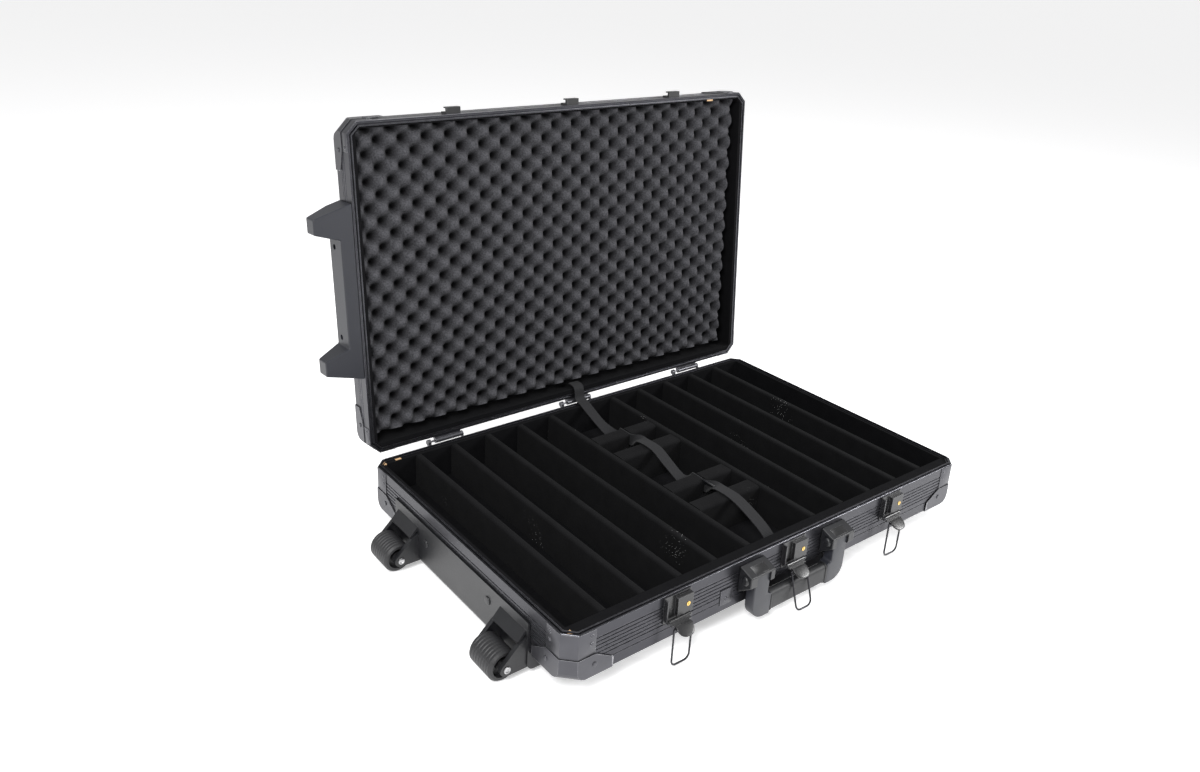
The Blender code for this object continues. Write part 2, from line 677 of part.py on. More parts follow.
def handle_bow(made):
    """A flat bow: two arms with round heads on stub pins, and a soft-cornered grip between them."""
    near, far = HANDLE_PIVOT[0] + HANDLE_THICK / 2, HANDLE_PIVOT[0] - HANDLE_THICK / 2
    foot, top, half = RIM + GRIP_FOOT, RIM + GRIP_TOP, ARM_OUTER
    outline = [(-half, top), *arc((-half + GRIP_ROUND, foot + GRIP_ROUND), GRIP_ROUND, 180, 270, 6)]
    outline += [*arc((half - GRIP_ROUND, foot + GRIP_ROUND), GRIP_ROUND, 270, 360, 6), (half, top)]
    bow = prism(outline, -HALF_W - near, -HALF_W - far, "Y")
    grip = solid("handle_bow", bow, made, bevel=HANDLE_SOFT, segments=4)
    axis = front(*HANDLE_PIVOT)
    radius = HANDLE_THICK / 2 - 0.0003
    joins = []
    for side in (-1, 1):
        low, high = sorted((side * (ARM_INNER + 0.0004), side * (ARM_OUTER - 0.0004)))
        arm = arc(axis, radius, 0, 180, 10) + [(axis[0] - radius, top - 0.008), (axis[0] + radius, top - 0.008)]
        joins.append(prism(arm, low, high, "X"))
        joins.append(rod(axis, HANDLE_PIN, low - 0.004, high + 0.004, "X", 20))
    boolean(grip, "UNION", joins)
    return grip


# Stand bar.

def stand_bar(made, parent):
    """A bar with two horns, on which the closed case stands beside its wheels."""
    wall = -HALF_L - GAP
    face, reach = wall - BAR_THICK, wall - BAR_REACH
    upper = [(wall, 0.1265), (reach, 0.1110), (reach, 0.0895), (face, 0.0775)]
    outline = [(x, BAR_CENTRE + y) for x, y in upper] + [(x, BAR_CENTRE - y) for x, y in reversed(upper)]
    low, high = LID_RIM + GAP, LID_RIM + BAR_DEPTH
    bar = solid("stand_bar", prism(outline, low, high, "Z"), made, parent, bevel=0.0015)
    thin = [(reach - 0.01, high - 0.020), (reach - 0.01, high + 0.01), (face + 0.002, high + 0.01),
            (face + 0.002, high)]
    cuts = [prism(thin, -HALF_W, HALF_W, "Y")]
    for side in (-1, 1):
        centre = (BAR_CENTRE + side * BAR_SCREW_SPAN / 2, low + BAR_DEPTH * 0.6)
        cuts.append(rod(centre, 0.004, face - 0.01, face + 0.006, "X", 20))
    return boolean(bar, "DIFFERENCE", cuts, parent)


# Wheels and carrier.

def ear_outline():
    """A triangular ear with a round boss at the axle and its root in the carrier's side."""
    wall = -HALF_L - GAP - CARRIER_SKIN / 2
    centre = (-HALF_L - WHEEL_OUT, WHEEL_RADIUS)
    boss = arc(centre, 0.009, 120, 270, 10)
    crown = 2 * WHEEL_RADIUS
    return [(wall, centre[1] - 0.009), (wall, crown + 0.014), (-HALF_L - 0.014, crown + 0.007)] + boss


def wheel_carrier(made):
    wall = -HALF_L - GAP
    face, shelf_top = wall - CARRIER_SKIN, UNDERSIDE - GAP - FLANGE
    bend = 0.010
    outline = [(wall, CARRIER_TOP), (face, CARRIER_TOP)]
    outline += arc((face + bend, CARRIER_FOOT + bend), bend, 180, 270, 6)
    outline += [(wall + CARRIER_SHELF, CARRIER_FOOT), (wall + CARRIER_SHELF, shelf_top), (wall, shelf_top)]
    carrier = solid("wheel_carrier", prism(outline, -CARRIER_HALF, CARRIER_HALF, "Y"), made)
    joins, holes = [], []
    crown = 2 * WHEEL_RADIUS
    hood = [(wall - CARRIER_SKIN / 2, crown + 0.024), (-HALF_L - 0.015, crown + 0.009),
            (-HALF_L - 0.014, crown + 0.006), (wall - CARRIER_SKIN / 2, crown + 0.018)]
    for y in WHEEL_Y:
        inner = WHEEL_WIDTH / 2 + EAR_PLAY
        for side in (-1, 1):
            low, high = sorted((y + side * inner, y + side * (inner + EAR_THICK)))
            joins.append(prism(ear_outline(), low, high, "Y"))
        joins.append(prism(hood, y - inner - EAR_THICK / 2, y + inner + EAR_THICK / 2, "Y"))
        axis = (-HALF_L - WHEEL_OUT, WHEEL_RADIUS)
        holes.append(rod(axis, AXLE + RUNNING_FIT, y - inner - 0.02, y + inner + 0.02, "Y", 24))
    boolean(carrier, "UNION", joins)
    return boolean(carrier, "DIFFERENCE", holes)


def wheels(rubber, steel):
    half = WHEEL_WIDTH / 2
    right = [
        (AXLE + RUNNING_FIT, half - 0.003), (0.008, half - 0.003), (0.008, half - 0.008),
        (0.015, half - 0.008), (0.015, half), (WHEEL_RADIUS - 0.0025, half), (WHEEL_RADIUS, half - 0.0028),
    ]
    tread = []
    for k in range(TREAD_GROOVES):
        mid = half * TREAD_SPAN * (1 - 2 * k / (TREAD_GROOVES - 1))
        tread += [(WHEEL_RADIUS, mid + 0.0011), (WHEEL_RADIUS - TREAD_DEPTH, mid), (WHEEL_RADIUS, mid - 0.0011)]
    profile = right + tread + [(radius, -height) for radius, height in reversed(right)]
    end = half + EAR_PLAY + EAR_THICK + GAP
    head = [
        (0, end + 0.0006), (0.0022, end + 0.0006), (0.003, end + 0.0014), (0.0045, end + 0.001),
        (0.0048, end), (AXLE, end),
    ]
    for number, y in enumerate(WHEEL_Y, 1):
        centre = (-HALF_L - WHEEL_OUT, y, WHEEL_RADIUS)
        turned(f"wheel_{number}", profile, rubber, centre)
        turned(f"axle_{number}", head + [(radius, -height) for radius, height in reversed(head)], steel, centre)


# The pull handle and the skid that houses it.

def pull_holes(radius, low, high):
    centre_z = (UNDERSIDE - FLANGE) / 2
    return [rod((side * PULL_SPACING, centre_z), radius, low, high, "X", 20) for side in (-1, 1)]


def skid(made):
    low, high = SKID_ENDS
    top = UNDERSIDE - GAP
    body = solid("skid_housing", box((low, -SKID_HALF, 0), (high, SKID_HALF, top)), made, bevel=0.002)
    inner_low = (low + SKID_WALL, -SKID_HALF + SKID_WALL, SKID_WALL)
    inner_high = (high - SKID_END, SKID_HALF - SKID_WALL, top - SKID_WALL)
    bores = pull_holes(PULL_TUBE + RUNNING_FIT, high - SKID_END - 0.01, high + 0.01)
    return boolean(body, "DIFFERENCE", [box(inner_low, inner_high), *bores])


def pull_bow(made):
    """Two tubes that slide in the skid, joined by a grip outside its end."""
    end = SKID_ENDS[1]
    centre_z = (UNDERSIDE - FLANGE) / 2
    low = (end + 0.001, -PULL_SPACING - 0.012, centre_z - 0.010)
    high = (end + 0.021, PULL_SPACING + 0.012, centre_z + 0.010)
    grip = solid("pull_bow", box(low, high), made, bevel=0.003)
    return boolean(grip, "UNION", pull_holes(PULL_TUBE, SKID_ENDS[0] + PULL_TAIL, end + 0.011))


def build():
    clear_scene()
    anodised = material("black_anodised", (0.025, 0.026, 0.03), 0.35, 0.8)
    felt = material("black_felt", (0.008, 0.008, 0.009), 0.95)
    plush = material("divider_felt", (0.012, 0.012, 0.013), 0.95)
    foam = material("charcoal_foam", (0.035, 0.036, 0.04), 0.9)
    steel = material("black_steel", (0.03, 0.03, 0.033), 0.4, 0.9)
    plastic = material("black_plastic", (0.022, 0.023, 0.025), 0.45)
    slate = material("slate_plastic", (0.05, 0.055, 0.065), 0.5)
    brass = material("brass", (0.75, 0.5, 0.16), 0.3, 1.0)
    nickel = material("bright_steel", (0.6, 0.6, 0.6), 0.3, 1.0)
    rubber = material("tyre_rubber", (0.02, 0.02, 0.021), 0.6)
    webbing = material("webbing", (0.06, 0.063, 0.068), 0.8)

    lid = pivot("lid_hinge", HINGE_AXIS, -LID_OPEN)
    base_frame(anodised)
    base_tray(felt)
    dividers(plush)
    cross_blocks(plush)
    lid_frame(anodised, lid)
    lid_tray(felt, lid)
    lid_foam(foam, lid)
    for number, (side_x, side_y) in enumerate(((-1, -1), (1, -1), (1, 1), (-1, 1)), 1):
        base = (BASE_DEPTH, BASE_CORNER_TOP, RIM, -1, steel)
        ball_corner(f"base_corner_{number}", side_x, side_y, *base)
        top = (LID_DEPTH, LID_CORNER_TOP, LID_RIM, 1, steel, lid)
        ball_corner(f"lid_corner_{number}", side_x, side_y, *top)
    strap(webbing)
    hinge_leaves(steel, lid)
    for number, x in enumerate(LATCH_X, 1):
        latch_plate(f"latch_plate_{number}", x, steel)
        latch_lock(f"latch_lock_{number}", x, brass)
        latch_lever(f"latch_lever_{number}", x, steel)
        keeper(f"keeper_{number}", x, steel, lid)
    for number, x in ((1, LATCH_X[0]), (3, LATCH_X[-1])):
        latch_bail(f"latch_bail_{number}", x, steel)
    for number, side in enumerate((-1, 1), 1):
        handle_mount(f"handle_mount_{number}", side, plastic)
    set_origin(handle_bow(slate), (0, *front(*HANDLE_PIVOT)))
    stand_bar(slate, lid)
    wheel_carrier(plastic)
    wheels(rubber, nickel)
    skid(plastic)
    pull_bow(plastic)


build()
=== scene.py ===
import json
import math
import bpy
import bmesh
from mathutils import Matrix, Vector


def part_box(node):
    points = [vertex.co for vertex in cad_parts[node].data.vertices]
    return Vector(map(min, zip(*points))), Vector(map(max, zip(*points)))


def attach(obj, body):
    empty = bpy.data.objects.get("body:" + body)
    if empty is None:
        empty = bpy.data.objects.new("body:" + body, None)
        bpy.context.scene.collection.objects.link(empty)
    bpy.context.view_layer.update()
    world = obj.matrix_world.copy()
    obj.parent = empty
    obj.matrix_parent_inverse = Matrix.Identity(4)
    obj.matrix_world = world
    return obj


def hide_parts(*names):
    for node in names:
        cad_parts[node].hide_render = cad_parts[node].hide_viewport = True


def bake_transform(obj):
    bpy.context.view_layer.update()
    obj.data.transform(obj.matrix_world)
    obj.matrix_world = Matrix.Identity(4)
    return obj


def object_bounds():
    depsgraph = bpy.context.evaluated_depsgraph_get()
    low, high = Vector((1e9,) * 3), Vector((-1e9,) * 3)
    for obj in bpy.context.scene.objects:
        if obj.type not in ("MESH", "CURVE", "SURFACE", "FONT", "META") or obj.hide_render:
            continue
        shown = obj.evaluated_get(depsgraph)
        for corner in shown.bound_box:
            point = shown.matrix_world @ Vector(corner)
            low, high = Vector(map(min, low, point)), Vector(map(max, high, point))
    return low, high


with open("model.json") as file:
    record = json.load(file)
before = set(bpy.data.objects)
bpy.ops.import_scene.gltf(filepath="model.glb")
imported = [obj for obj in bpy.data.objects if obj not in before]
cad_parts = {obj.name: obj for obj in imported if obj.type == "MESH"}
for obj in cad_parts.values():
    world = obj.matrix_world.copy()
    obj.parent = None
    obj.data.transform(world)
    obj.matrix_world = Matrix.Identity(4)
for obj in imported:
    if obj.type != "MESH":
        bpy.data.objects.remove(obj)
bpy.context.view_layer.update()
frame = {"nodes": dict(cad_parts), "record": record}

nodes = frame["nodes"]
hingeJoint = next(joint for joint in frame["record"]["behaviour"]["joints"] if joint["name"] == "lid_hinge")
hingeAt = Vector(hingeJoint["pos_m"])
lidOpen = math.radians(hingeJoint["range_deg"][1])
frameLow, frameHigh = (Vector(corner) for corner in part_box("base_frame"))
blockHigh = Vector(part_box("cross_block_2")[1])
rimGap = 0.001  # the blocks stop this far below the rim
rimHeight = blockHigh.z + rimGap
lidTurn = Matrix.Translation(hingeAt) @ Matrix.Rotation(-lidOpen, 4, "X") @ Matrix.Translation(-hingeAt)
print("frame read, rim at", round(rimHeight, 4))


# the camera
camera = dict(place=(-0.9317, -0.9431, 0.8277), right=(0.79391, -0.60635, 0.04537),
              up=(0.19264, 0.32160, 0.92707), lens=29.744, sensor=36,
              shiftX=0.0134, shiftY=-0.0429)
right, up = Vector(camera["right"]), Vector(camera["up"])
turn = Matrix((right, up, right.cross(up))).transposed().to_4x4()
bpy.ops.object.camera_add()
cam = bpy.context.object
cam.matrix_world = Matrix.Translation(camera["place"]) @ turn
cam.data.lens = camera["lens"]
cam.data.sensor_width = camera["sensor"]
cam.data.shift_x = camera["shiftX"]
cam.data.shift_y = camera["shiftY"]
bpy.context.scene.camera = cam


def deselectAll():
    if bpy.context.object and bpy.context.object.mode != "OBJECT":
        bpy.ops.object.mode_set(mode="OBJECT")
    bpy.ops.object.select_all(action="DESELECT")


def pickOnly(obj):
    deselectAll()
    obj.select_set(True)
    bpy.context.view_layer.objects.active = obj


def applyPlace(obj):
    pickOnly(obj)
    bpy.ops.object.transform_apply(location=True, rotation=True, scale=True)


def applyModifiers(obj):
    pickOnly(obj)
    for modifier in list(obj.modifiers):
        bpy.ops.object.modifier_apply(modifier=modifier.name)


def bevelled(obj, width, segments=2):
    modifier = obj.modifiers.new("soft edges", "BEVEL")
    modifier.width = width
    modifier.segments = segments
    modifier.limit_method = "ANGLE"
    applyModifiers(obj)


def smoothEdges(obj, angle=35):
    pickOnly(obj)
    bpy.ops.object.shade_smooth_by_angle(angle=math.radians(angle))


def fixNormals(obj, weldWithin=0.00001):
    pickOnly(obj)
    bpy.ops.object.mode_set(mode="EDIT")
    bpy.ops.mesh.select_all(action="SELECT")
    bpy.ops.mesh.remove_doubles(threshold=weldWithin)
    bpy.ops.mesh.normals_make_consistent(inside=False)
    bpy.ops.object.mode_set(mode="OBJECT")


def joined(parts, name):
    deselectAll()
    for part in parts:
        part.select_set(True)
    bpy.context.view_layer.objects.active = parts[0]
    if len(parts) > 1:
        bpy.ops.object.join()
    whole = bpy.context.object
    whole.name = name
    whole.data.name = name
    return whole


def blockBetween(low, high):
    deselectAll()
    low, high = Vector(low), Vector(high)
    bpy.ops.mesh.primitive_cube_add(size=1, location=(low + high) / 2, scale=high - low)
    obj = bpy.context.object
    applyPlace(obj)
    return obj


def copied(obj, turn):
    # a copy with its own mesh, moved or mirrored by the matrix
    pickOnly(obj)
    bpy.ops.object.duplicate()
    other = bpy.context.object
    other.data.transform(turn)
    fixNormals(other)
    return other


def discard(obj):
    pickOnly(obj)
    bpy.ops.object.delete()


def selectEdges(obj, wanted):
    # in edit mode: picks the edges whose two end points pass the test
    bpy.ops.mesh.select_mode(type="EDGE")
    bpy.ops.mesh.select_all(action="DESELECT")
    mesh = bmesh.from_edit_mesh(obj.data)
    for edge in mesh.edges:
        if wanted(edge.verts[0].co, edge.verts[1].co):
            edge.select_set(True)
    bmesh.update_edit_mesh(obj.data)


def selectFaces(obj, wanted):
    bpy.ops.mesh.select_mode(type="FACE")
    bpy.ops.mesh.select_all(action="DESELECT")
    mesh = bmesh.from_edit_mesh(obj.data)
    mesh.normal_update()
    for face in mesh.faces:
        if wanted(face):
            face.select_set(True)
    bmesh.update_edit_mesh(obj.data)


def dome(at, along, radius, height, sides=20, rounding=0.7):
    # a low rivet head that stands on a face
    deselectAll()
    facing = Vector(along).to_track_quat("Z", "Y")
    bpy.ops.mesh.primitive_cylinder_add(vertices=sides, radius=radius, depth=height * 2, location=at,
                                        rotation=facing.to_euler())
    obj = bpy.context.object
    applyPlace(obj)
    bevelled(obj, height * rounding, 3)
    return obj


# floor and light
studio = dict(floorSize=60.0, floorColor=(0.92, 0.92, 0.925, 1), floorRough=0.8, floorGlow=0.42,
              floorDrop=0.0005, backdrop=1.0, sky=0.5, aimAt=(0, 0, 0.15))
white = (1, 1, 1, 1)
bpy.context.scene.view_settings.view_transform = "Standard"
deselectAll()
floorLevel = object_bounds()[0][2] - studio["floorDrop"]
bpy.ops.mesh.primitive_plane_add(size=studio["floorSize"], location=(0, 0, floorLevel))
floor = bpy.context.object
floor.name = "studioFloor"
floorMat = bpy.data.materials.new("paleFloor")
floorMat.use_nodes = True
floorShader = floorMat.node_tree.nodes["Principled BSDF"]
floorShader.inputs["Base Color"].default_value = studio["floorColor"]
floorShader.inputs["Roughness"].default_value = studio["floorRough"]
floorShader.inputs["Emission Color"].default_value = white
floorShader.inputs["Emission Strength"].default_value = studio["floorGlow"]
floor.data.materials.append(floorMat)

world = bpy.data.worlds.new("studioSky")
bpy.context.scene.world = world
world.use_nodes = True
sky = world.node_tree.nodes["Background"]
sky.inputs["Color"].default_value = white
skyPath = world.node_tree.nodes.new("ShaderNodeLightPath")  # a white backdrop over a dimmer fill light
skyLevel = world.node_tree.nodes.new("ShaderNodeMapRange")
skyLevel.inputs["To Min"].default_value = studio["sky"]
skyLevel.inputs["To Max"].default_value = studio["backdrop"]
world.node_tree.links.new(skyPath.outputs["Is Camera Ray"], skyLevel.inputs["Value"])
world.node_tree.links.new(skyLevel.outputs["Result"], sky.inputs["Strength"])

lamps = (
    dict(name="keyLamp", at=(-1.7, -1.1, 2.0), size=0.8, power=62),
    dict(name="topLamp", at=(0.4, 0.2, 2.8), size=1.4, power=40),
    dict(name="sideLamp", at=(1.9, -1.6, 1.3), size=0.7, power=40),
)
for lamp in lamps:
    deselectAll()
    aim = (Vector(studio["aimAt"]) - Vector(lamp["at"])).to_track_quat("-Z", "Y")
    bpy.ops.object.light_add(type="AREA", location=lamp["at"], rotation=aim.to_euler())
    light = bpy.context.object
    light.name = lamp["name"]
    light.data.size = lamp["size"]
    light.data.energy = lamp["power"]
print("studio ready")


# shared effects
def newGroup(name, inputs, outputs):
    group = bpy.data.node_groups.new(name, "ShaderNodeTree")
    for label, kind, value in inputs:
        socket = group.interface.new_socket(label, in_out="INPUT", socket_type=kind)
        socket.default_value = value
    for label, kind in outputs:
        group.interface.new_socket(label, in_out="OUTPUT", socket_type=kind)
    start = group.nodes.new("NodeGroupInput")
    end = group.nodes.new("NodeGroupOutput")
    return group, start, end


def levels(tree, value, lowIn, highIn, lowOut=0.0, highOut=1.0):
    # stretches a value between two levels, and holds it there
    stretch = tree.nodes.new("ShaderNodeMapRange")
    stretch.inputs["From Min"].default_value = lowIn
    stretch.inputs["From Max"].default_value = highIn
    stretch.inputs["To Min"].default_value = lowOut
    stretch.inputs["To Max"].default_value = highOut
    tree.links.new(value, stretch.inputs["Value"])
    return stretch.outputs["Result"]


def product(tree, one, other):
    both = tree.nodes.new("ShaderNodeMath")
    both.operation = "MULTIPLY"
    tree.links.new(one, both.inputs[0])
    tree.links.new(other, both.inputs[1])
    return both.outputs["Value"]


grainLook = dict(fineDetail=4, broadDetail=3)


def grainGroup():
    # fine surface grain: a height and a soft blotch mask at two scales
    scales = (("Fine", "NodeSocketFloat", 900.0), ("Broad", "NodeSocketFloat", 20.0))
    results = (("Height", "NodeSocketFloat"), ("Blotch", "NodeSocketFloat"))
    group, start, end = newGroup("surfaceGrain", scales, results)
    link = group.links.new
    coords = group.nodes.new("ShaderNodeTexCoord")
    fine = group.nodes.new("ShaderNodeTexNoise")
    fine.inputs["Detail"].default_value = grainLook["fineDetail"]
    broad = group.nodes.new("ShaderNodeTexNoise")
    broad.inputs["Detail"].default_value = grainLook["broadDetail"]
    link(coords.outputs["Object"], fine.inputs["Vector"])
    link(coords.outputs["Object"], broad.inputs["Vector"])
    link(start.outputs["Fine"], fine.inputs["Scale"])
    link(start.outputs["Broad"], broad.inputs["Scale"])
    link(fine.outputs["Fac"], end.inputs["Height"])
    link(broad.outputs["Fac"], end.inputs["Blotch"])
    return group


# settings for the bright edges: partly real wear, partly a painted highlight
wearAndHighlightLook = dict(samples=10, flat=0.995, sharp=0.88, detail=6, patchLow=0.42, patchHigh=0.60, leastWearAndHighlight=0.45)


def wearAndHighlightGroup():
    # bright metal showing on sharp edges, broken up by noise: partly real edge wear, partly a painted
    # highlight along the edges
    reaches = (("Reach", "NodeSocketFloat", 0.0012), ("Break", "NodeSocketFloat", 120.0))
    group, start, end = newGroup("edgeWearAndHighlight", reaches, (("WearAndHighlight", "NodeSocketFloat"),))
    link = group.links.new
    bevel = group.nodes.new("ShaderNodeBevel")
    bevel.samples = wearAndHighlightLook["samples"]
    link(start.outputs["Reach"], bevel.inputs["Radius"])
    shape = group.nodes.new("ShaderNodeNewGeometry")
    dot = group.nodes.new("ShaderNodeVectorMath")
    dot.operation = "DOT_PRODUCT"
    link(bevel.outputs["Normal"], dot.inputs[0])
    link(shape.outputs["Normal"], dot.inputs[1])
    edge = levels(group, dot.outputs["Value"], wearAndHighlightLook["flat"], wearAndHighlightLook["sharp"])
    coords = group.nodes.new("ShaderNodeTexCoord")
    noise = group.nodes.new("ShaderNodeTexNoise")
    noise.inputs["Detail"].default_value = wearAndHighlightLook["detail"]
    link(coords.outputs["Object"], noise.inputs["Vector"])
    link(start.outputs["Break"], noise.inputs["Scale"])
    broken = levels(group, noise.outputs["Fac"], wearAndHighlightLook["patchLow"], wearAndHighlightLook["patchHigh"],
                    wearAndHighlightLook["leastWearAndHighlight"])
    link(product(group, edge, broken), end.inputs["WearAndHighlight"])
    return group


lintLook = dict(speckEdge=0.15, speckCore=0.09, patchLow=0.66, patchHigh=0.72)


def lintGroup():
    # pale specks of lint: small dots from a cell pattern, kept only where a broad noise is high
    scales = (("Cells", "NodeSocketFloat", 330.0), ("Patches", "NodeSocketFloat", 11.0))
    group, start, end = newGroup("lintSpecks", scales, (("Speck", "NodeSocketFloat"),))
    link = group.links.new
    coords = group.nodes.new("ShaderNodeTexCoord")
    cells = group.nodes.new("ShaderNodeTexVoronoi")
    link(coords.outputs["Object"], cells.inputs["Vector"])
    link(start.outputs["Cells"], cells.inputs["Scale"])
    dot = levels(group, cells.outputs["Distance"], lintLook["speckEdge"], lintLook["speckCore"])
    patches = group.nodes.new("ShaderNodeTexNoise")
    link(coords.outputs["Object"], patches.inputs["Vector"])
    link(start.outputs["Patches"], patches.inputs["Scale"])
    kept = levels(group, patches.outputs["Fac"], lintLook["patchLow"], lintLook["patchHigh"])
    link(product(group, dot, kept), end.inputs["Speck"])
    return group


surfaceGrain = grainGroup()
lintSpecks = lintGroup()
edgeWearAndHighlight = wearAndHighlightGroup()


def mixed(tree, under, over, mask):
    # the colour `over` wherever the mask is high; `under` is a colour or a socket
    mix = tree.nodes.new("ShaderNodeMix")
    mix.data_type = "RGBA"
    mix.inputs["B"].default_value = over
    if isinstance(under, tuple):
        mix.inputs["A"].default_value = under
    else:
        tree.links.new(under, mix.inputs["A"])
    tree.links.new(mask, mix.inputs["Factor"])
    return mix.outputs["Result"]


def placed(tree, group):
    node = tree.nodes.new("ShaderNodeGroup")
    node.node_tree = group
    return node


def newMaterial(name):
    made = bpy.data.materials.new(name)
    made.use_nodes = True
    return made, made.node_tree, made.node_tree.nodes["Principled BSDF"]


def addBump(tree, shader, height, strength, distance):
    relief = tree.nodes.new("ShaderNodeBump")
    relief.inputs["Strength"].default_value = strength
    relief.inputs["Distance"].default_value = distance
    tree.links.new(height, relief.inputs["Height"])
    tree.links.new(relief.outputs["Normal"], shader.inputs["Normal"])


# near-black colour for the deepest foam pits: partly darker open cells, partly painted shade
pitCellsAndShadeLook = dict(shallow=0.12, deep=0.75, darkest=0.94, color=(0.0015, 0.0015, 0.0018, 1))
roughSpread = 0.08


def finish(name, dark, light, rough, fine=900, broad=20, bump=0.1, depth=0.0003, metallic=0.0, sheen=0.0,
           wearAndHighlight=0.0, wearAndHighlightColor=(0.35, 0.35, 0.36, 1), lint=0.0, shine=0.5, pitCellsAndShade=""):
    made, tree, shader = newMaterial(name)
    shader.inputs["Metallic"].default_value = metallic
    shader.inputs["Sheen Weight"].default_value = sheen
    shader.inputs["Specular IOR Level"].default_value = shine
    grain = placed(tree, surfaceGrain)
    grain.inputs["Fine"].default_value = fine
    grain.inputs["Broad"].default_value = broad
    top = mixed(tree, (*dark, 1), (*light, 1), grain.outputs["Blotch"])
    # the pits are darkened by how deep they sink: partly the foam's darker open cells, partly painted shade
    # in the pits
    if pitCellsAndShade:
        sinking = tree.nodes.new("ShaderNodeAttribute")
        sinking.attribute_name = pitCellsAndShade
        shade = levels(tree, sinking.outputs["Fac"], pitCellsAndShadeLook["shallow"], pitCellsAndShadeLook["deep"],
                       highOut=pitCellsAndShadeLook["darkest"])
        top = mixed(tree, top, pitCellsAndShadeLook["color"], shade)
    if lint:
        top = mixed(tree, top, (lint, lint, lint, 1), placed(tree, lintSpecks).outputs["Speck"])
    # bright sharp edges: partly real wear, partly a painted highlight
    if wearAndHighlight:
        wornAndLit = placed(tree, edgeWearAndHighlight)
        wornAndLit.inputs["Reach"].default_value = wearAndHighlight
        top = mixed(tree, top, wearAndHighlightColor, wornAndLit.outputs["WearAndHighlight"])
    tree.links.new(top, shader.inputs["Base Color"])
    spread = levels(tree, grain.outputs["Blotch"], 0, 1,
                    max(rough - roughSpread, 0), min(rough + roughSpread, 1))
    tree.links.new(spread, shader.inputs["Roughness"])
    addBump(tree, shader, grain.outputs["Height"], bump, depth)
    return made


weave = dict(rough=0.75, sheen=0.06, shine=0.25, waver=0.4, bump=0.4, depth=0.0004)


def weaveFinish(name, dark, light, pitch):
    # woven tape: two crossed waves on the piece's own UV map
    made, tree, shader = newMaterial(name)
    shader.inputs["Roughness"].default_value = weave["rough"]
    shader.inputs["Sheen Weight"].default_value = weave["sheen"]
    shader.inputs["Specular IOR Level"].default_value = weave["shine"]
    coords = tree.nodes.new("ShaderNodeTexCoord")
    waves = []
    for direction in ("X", "Y"):
        wave = tree.nodes.new("ShaderNodeTexWave")
        wave.bands_direction = direction
        wave.inputs["Scale"].default_value = pitch
        wave.inputs["Distortion"].default_value = weave["waver"]
        tree.links.new(coords.outputs["UV"], wave.inputs["Vector"])
        waves.append(wave.outputs["Fac"])
    crossing = product(tree, *waves)
    tree.links.new(mixed(tree, (*dark, 1), (*light, 1), crossing), shader.inputs["Base Color"])
    addBump(tree, shader, crossing, weave["bump"], weave["depth"])
    return made


anodised = finish("anodisedAluminium", (0.028, 0.028, 0.033), (0.062, 0.062, 0.071), 0.30, fine=1400, broad=9,
                  bump=0.05, metallic=0.85, wearAndHighlight=0.0006, wearAndHighlightColor=(0.26, 0.262, 0.28, 1))
liningFelt = finish("liningFelt", (0.0025, 0.0025, 0.003), (0.006, 0.006, 0.0068), 0.95, fine=1800, broad=60,
                    bump=0.5, depth=0.0006, sheen=0.01, shine=0.06)
dividerFelt = finish("dividerFelt", (0.0032, 0.0032, 0.0036), (0.0078, 0.0078, 0.0084), 0.95,
                     fine=1500, broad=45, bump=0.6, depth=0.0007, sheen=0.015, shine=0.08, lint=0.6)
foamFinish = finish("openFoam", (0.004, 0.004, 0.005), (0.105, 0.105, 0.115), 0.95, fine=420, broad=420,
                    bump=1.0, depth=0.002, sheen=0.03, shine=0.10, pitCellsAndShade="pit")
blackSteel = finish("blackSteel", (0.041, 0.041, 0.047), (0.088, 0.088, 0.098), 0.32, fine=800, broad=25,
                    bump=0.08, metallic=0.7, wearAndHighlight=0.0008, wearAndHighlightColor=(0.4, 0.4, 0.42, 1))
latchBlack = finish("latchBlack", (0.006, 0.006, 0.0065), (0.014, 0.014, 0.015), 0.28, fine=900, broad=30,
                    bump=0.08, wearAndHighlight=0.0006, wearAndHighlightColor=(0.16, 0.16, 0.17, 1))
wireSteel = finish("wireSteel", (0.016, 0.016, 0.018), (0.045, 0.045, 0.05), 0.22, fine=600, broad=60,
                   bump=0.06, metallic=0.9)
blackPlastic = finish("blackPlastic", (0.005, 0.0052, 0.0063), (0.0125, 0.013, 0.015), 0.40,
                      fine=1600, broad=14, bump=0.25, depth=0.0003)
slatePlastic = finish("slatePlastic", (0.0102, 0.011, 0.0155), (0.0205, 0.022, 0.0285), 0.42,
                      fine=1600, broad=12, bump=0.2, depth=0.0003)
gripRubber = finish("gripRubber", (0.0055, 0.0057, 0.0065), (0.011, 0.0115, 0.013), 0.5, fine=1900, broad=30,
                    bump=0.3, depth=0.0003)
laminate = finish("pebbleLaminate", (0.008, 0.008, 0.009), (0.017, 0.017, 0.0185), 0.5, fine=650, broad=30,
                  bump=0.7, depth=0.0008)
brass = finish("turnedBrass", (0.62, 0.38, 0.09), (0.85, 0.6, 0.2), 0.25, fine=1200, broad=200,
               bump=0.05, metallic=1.0)
brightSteel = finish("platedSteel", (0.3, 0.3, 0.3), (0.6, 0.6, 0.61), 0.3, fine=900, broad=120,
                     bump=0.05, metallic=1.0)
tyreRubber = finish("tyreRubber", (0.009, 0.009, 0.010), (0.02, 0.02, 0.022), 0.5, fine=1100, broad=30,
                    bump=0.35, depth=0.0004)
bareWood = finish("bareWood", (0.42, 0.25, 0.12), (0.62, 0.42, 0.24), 0.7, fine=500, broad=150, bump=0.4)
tape = weaveFinish("wovenTape", (0.006, 0.006, 0.007), (0.022, 0.0225, 0.025), 160)

